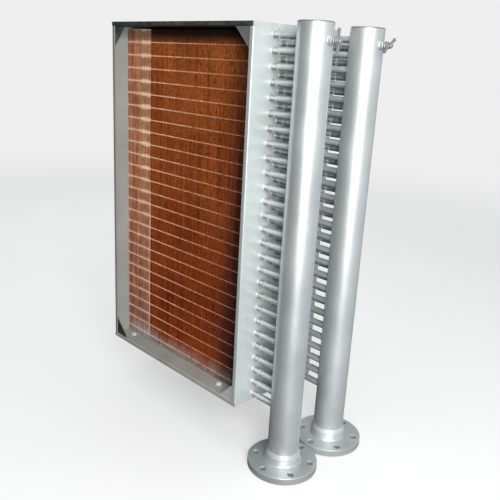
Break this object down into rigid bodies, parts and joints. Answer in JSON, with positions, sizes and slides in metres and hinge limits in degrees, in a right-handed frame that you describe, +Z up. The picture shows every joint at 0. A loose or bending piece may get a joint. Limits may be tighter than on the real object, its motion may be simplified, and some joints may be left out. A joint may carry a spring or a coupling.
{
  "type": "air heat exchanger coil",
  "caption": "Finned tube air coil in a sheet casing, with two upright flanged pipe headers on one side and air vent cocks at their tops.",
  "frame": {"origin": "centre of the casing's underside, midway between the end plates and between the casing's front and back", "axes": "+X towards the end plate with the headers, +Y from the open front of the fins to the back, +Z up along the headers"},
  "size_m": [0.8864, 0.404, 1.203],
  "materials": {
    "casing_paint": "silver paint, satin",
    "gusset_paint": "silver paint over dark sheet",
    "header_paint": "silver paint, satin",
    "tube_paint": "silver paint over copper tube",
    "fins": "bare copper sheet, satin",
    "vent_metal": "overpainted, satin",
    "bolt_steel": "overpainted, satin"
  },
  "bodies": {
    "coil": {"base_bolts": "bolt_steel", "base_nuts": "bolt_steel", "bottom_plate": "casing_paint", "corner_gussets": "gusset_paint", "fin_pack": "fins", "front_header_pipe": "header_paint", "front_header_stubs_row_1": "tube_paint", "front_header_stubs_row_2": "tube_paint", "header_caps": "header_paint", "header_flanges": "header_paint", "left_bends_row_1_to_3": "tube_paint", "left_bends_row_2_to_4": "tube_paint", "left_bends_row_5_to_7": "tube_paint", "left_bends_row_6_to_8": "tube_paint", "left_end_plate": "casing_paint", "rear_header_pipe": "header_paint", "rear_header_stubs_row_7": "tube_paint", "rear_header_stubs_row_8": "tube_paint", "right_bends_row_3_to_5": "tube_paint", "right_bends_row_4_to_6": "tube_paint", "right_end_plate": "casing_paint", "top_plate": "casing_paint", "vent_bodies": "vent_metal", "vent_sockets": "header_paint"},
    "front_vent_cock": {"front_vent_handle": "vent_metal", "front_vent_spindle": "vent_metal"},
    "rear_vent_cock": {"rear_vent_handle": "vent_metal", "rear_vent_spindle": "vent_metal"}
  },
  "joints": [
    {"name": "front_vent_turn", "type": "hinge", "parent": "coil", "child": "front_vent_cock", "pos_m": [0.49785, -0.0785, 1.001], "axis": [1, 0, 0], "range_deg": [0, 90]},
    {"name": "rear_vent_turn", "type": "hinge", "parent": "coil", "child": "rear_vent_cock", "pos_m": [0.49785, 0.1255, 1.001], "axis": [1, 0, 0], "range_deg": [0, 90]}
  ]
}
